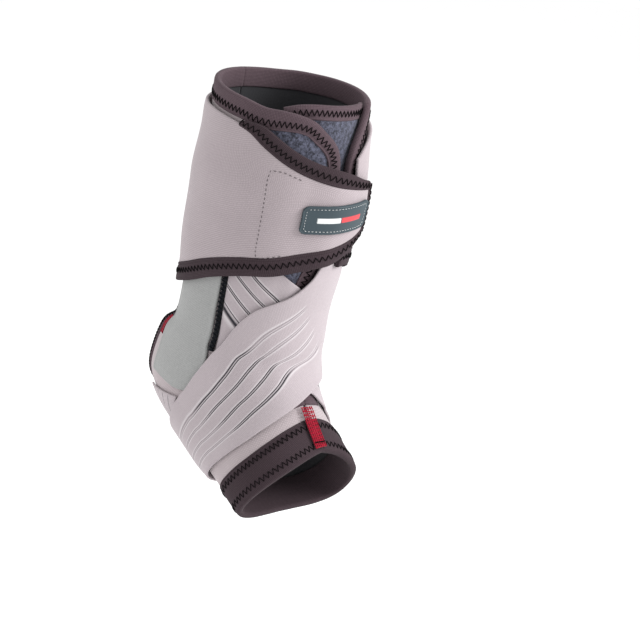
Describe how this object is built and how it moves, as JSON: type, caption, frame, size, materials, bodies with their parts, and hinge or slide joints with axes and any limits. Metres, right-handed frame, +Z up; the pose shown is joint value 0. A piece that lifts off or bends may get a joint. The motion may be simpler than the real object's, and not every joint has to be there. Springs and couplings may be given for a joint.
{
  "type": "ankle brace",
  "caption": "Worn cloth ankle brace: open-heel wrap body, crossing slit elastic straps, side stay pockets and a broad calf cuff with a rubber patch.",
  "frame": {"origin": "centre of the ankle joint inside the hollow, where the brace sits on the ankle", "axes": "+Z up along the lower leg, +X toward the toes, +Y toward the inner side of a right foot"},
  "size_m": [0.1471, 0.1022, 0.267],
  "materials": {
    "loop_cloth": "slate-blue brushed loop cloth",
    "body_cloth": "pinkish grey knitted cloth",
    "taupe_binding": "taupe woven edge band, zigzag stitched",
    "stay_cloth": "sage-grey fine knit",
    "navy_tape": "navy serrated tape",
    "strap_elastic": "pinkish grey elastic with stitched slits",
    "cuff_cloth": "pinkish grey fine twill laminate",
    "patch_rubber": "moulded matt rubber",
    "crimson_tape": "crimson open weave tape"
  },
  "bodies": {
    "root": {"body_lateral": "loop_cloth", "body_medial": "body_cloth", "tongue": "loop_cloth", "tongue_binding": "taupe_binding", "flap_binding_lateral": "taupe_binding", "flap_binding_medial": "taupe_binding", "heel_binding_lateral": "taupe_binding", "heel_binding_medial": "taupe_binding", "foot_band": "taupe_binding", "stay_pocket_lateral": "stay_cloth", "stay_pocket_medial": "stay_cloth", "stay_edge_tape_lateral": "navy_tape", "strap_under": "strap_elastic", "strap_over": "strap_elastic", "cuff_strap": "cuff_cloth", "cuff_binding": "taupe_binding", "label_patch": "patch_rubber", "pull_tape_front": "crimson_tape", "pull_tape_back": "crimson_tape"}
  },
  "joints": []
}
